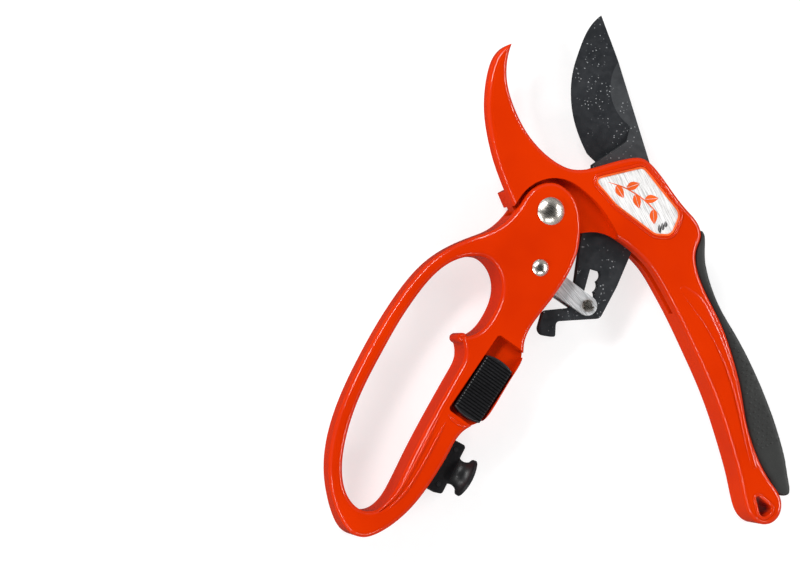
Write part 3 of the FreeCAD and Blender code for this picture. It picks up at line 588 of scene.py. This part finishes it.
def hook_casting_details():
    left = curve_through(points_of((33.8, -49.5), (35.4, -57.0), (37.2, -66.3), (38.0, -79.8), (37.2, -90.7),
                                   (35.4, -100.9), (33.4, -109.4), (31.6, -117.5), (30.2, -125.6)), steps=8)
    right = curve_through(points_of((36.0, -48.0), (41.4, -56.5), (42.4, -68.0), (41.8, -80.0), (40.4, -90.0),
                                    (38.0, -100.0), (35.9, -109.0), (34.3, -117.0), (32.5, -126.2)), steps=8)
    swell("handle_crest", left, right, HOOK_FRONT, 1.0, HOOK, "hook", ORANGE)
    hook_lip("hanging_hole_lip", HOLE_CORNERS, 0.7, 0.05, 0.62)
    hook_lip("plate_seat_lip", PLATE_CORNERS, 0.75, 0.1, 0.6)


def loop_rib(name, radius, *route):
    """Bead with tapered ends along a curve on the loop casting's front face."""
    line = curve_through(points_of(*route))
    bead(name, line, LOOP_FRONT - 0.1, radius, LOOP, "loop", ORANGE, closed=False, sides=10)


def loop_casting_details():
    loop_rib("strand_rib_inner", 0.75,
             (-2.6, -89.0), (-2.5, -99.5), (-2.6, -111.8), (-3.4, -122.5), (-6.6, -131.6))
    loop_rib("strand_rib_outer", 0.6,
             (0.7, -89.2), (0.6, -98.0), (0.3, -110.2), (-1.0, -121.0), (-4.2, -130.4))
    loop_rib("lock_shoulder_rib", 0.65, (0.1, -87.0), (2.8, -88.1), (6.0, -88.5), (8.9, -88.1))


def spur_nose():
    """Blunt end of the finger spur: an upright round bar with round ends."""
    centre = Vector((-7.6, -58.7))
    radius, margin, sides, rings = 1.9, 1.6, 20, 6
    low, high = margin, LOOP_FRONT - margin
    turns = [math.pi / 2 * k / rings for k in range(rings + 1)]
    quarter = [(radius * math.sin(turn), low + radius * (1 - math.cos(turn))) for turn in turns]
    profile = quarter + [(across, low + high - up) for across, up in reversed(quarter)]
    bm = bmesh.new()
    rows = []
    for across, up in profile:
        reach = max(across, 0.01)
        row = []
        for k in range(sides):
            angle = 2 * math.pi * k / sides
            spot = (centre.x + reach * math.cos(angle), centre.y + reach * math.sin(angle), up)
            row.append(bm.verts.new(LOOP @ Vector(spot)))
        rows.append(row)
    for row, other in zip(rows, rows[1:]):
        for k in range(sides):
            bm.faces.new((row[k], row[(k + 1) % sides], other[(k + 1) % sides], other[k]))
    bm.faces.new(rows[0])
    bm.faces.new(rows[-1][::-1])
    mesh_piece("spur_nose", bm, "loop", ORANGE)


finish_nodes()
loop_casting_details()
spur_nose()
grip()
plate_print()
hook_casting_details()


# ---- floor, light and camera ----

def floor():
    """White light table: it glows a little by itself, so the shadows on it stay faint."""
    bm = bmesh.new()
    bmesh.ops.create_grid(bm, x_segments=1, y_segments=1, size=3.0)
    mesh = bpy.data.meshes.new("floor")
    bm.to_mesh(mesh)
    bm.free()
    made = bpy.data.objects.new("floor", mesh)
    made.location.z = -0.0005
    bpy.context.scene.collection.objects.link(made)
    surface, tree, shader = material("lit_table", (0.38, 0.38, 0.38), 0.0, 0.9)
    grain = texture(tree, "ShaderNodeTexNoise", 300, Detail=3)
    tree.links.new(ramp(tree, grain.outputs["Fac"], [(0.3, 0.37), (0.7, 0.39)]), shader.inputs["Base Color"])
    shader.inputs["Emission Color"].default_value = (1, 1, 1, 1)
    shader.inputs["Emission Strength"].default_value = 0.68
    mesh.materials.append(surface)
    made.visible_glossy = False


def soft_light(name, spot, size, power):
    """Rectangular lamp, its sides and place in metres, aimed at the middle of the shears."""
    light = bpy.data.lights.new(name, "AREA")
    light.shape = "RECTANGLE"
    light.size, light.size_y = size
    light.energy = power
    made = bpy.data.objects.new(name, light)
    made.location = spot
    made.rotation_euler = (-Vector(spot)).to_track_quat("-Z", "Y").to_euler()
    bpy.context.scene.collection.objects.link(made)


def studio():
    """A dark ceiling over pale walls, with four soft strips of light.

    Flat faces mirror the ceiling and stay deep in colour, and the rounded edges catch the walls and strips.
    """
    world = bpy.data.worlds.new("studio")
    bpy.context.scene.world = world
    world.use_nodes = True
    tree = world.node_tree
    around = tree.nodes.new("ShaderNodeTexCoord")
    height = tree.nodes.new("ShaderNodeSeparateXYZ")
    tree.links.new(around.outputs["Generated"], height.inputs["Vector"])
    walls = [(0.0, 0.05), (0.004, 0.42), (0.35, 0.46), (0.62, 0.32), (0.82, 0.03)]
    shade = ramp(tree, height.outputs["Z"], walls)
    tree.links.new(shade, tree.nodes["Background"].inputs["Color"])
    tree.nodes["Background"].inputs["Strength"].default_value = 1.0
    soft_light("key", (-0.70, 0.75, 0.75), (0.9, 0.16), 15)
    soft_light("fill", (1.00, 0.10, 0.60), (0.9, 0.14), 9)
    soft_light("rim", (-0.90, -0.55, 0.40), (0.8, 0.10), 5)
    soft_light("front", (0.15, -1.00, 0.75), (0.9, 0.14), 5)


def camera():
    """Nearly overhead, leaning toward the loop handle, as the photograph was taken."""
    lean, pitch, roll = (math.radians(angle) for angle in (-14.5, -1.6, -0.2))
    distance = 0.9
    aim = Vector((PIVOT.x - 0.0573, PIVOT.y - 0.02855, 0.010))
    way = Vector((math.sin(lean) * math.cos(pitch), math.sin(pitch), math.cos(lean) * math.cos(pitch)))
    up = Vector((math.sin(roll), math.cos(roll), 0))
    side = up.cross(way).normalized()
    data = bpy.data.cameras.new("camera")
    data.lens = 107.2
    made = bpy.data.objects.new("camera", data)
    facing = Matrix((side, way.cross(side), way)).transposed().to_4x4()
    made.matrix_world = Matrix.Translation(aim + way * distance) @ facing
    bpy.context.scene.collection.objects.link(made)
    bpy.context.scene.camera = made


floor()
studio()
camera()
bpy.context.scene.view_settings.view_transform = "Standard"
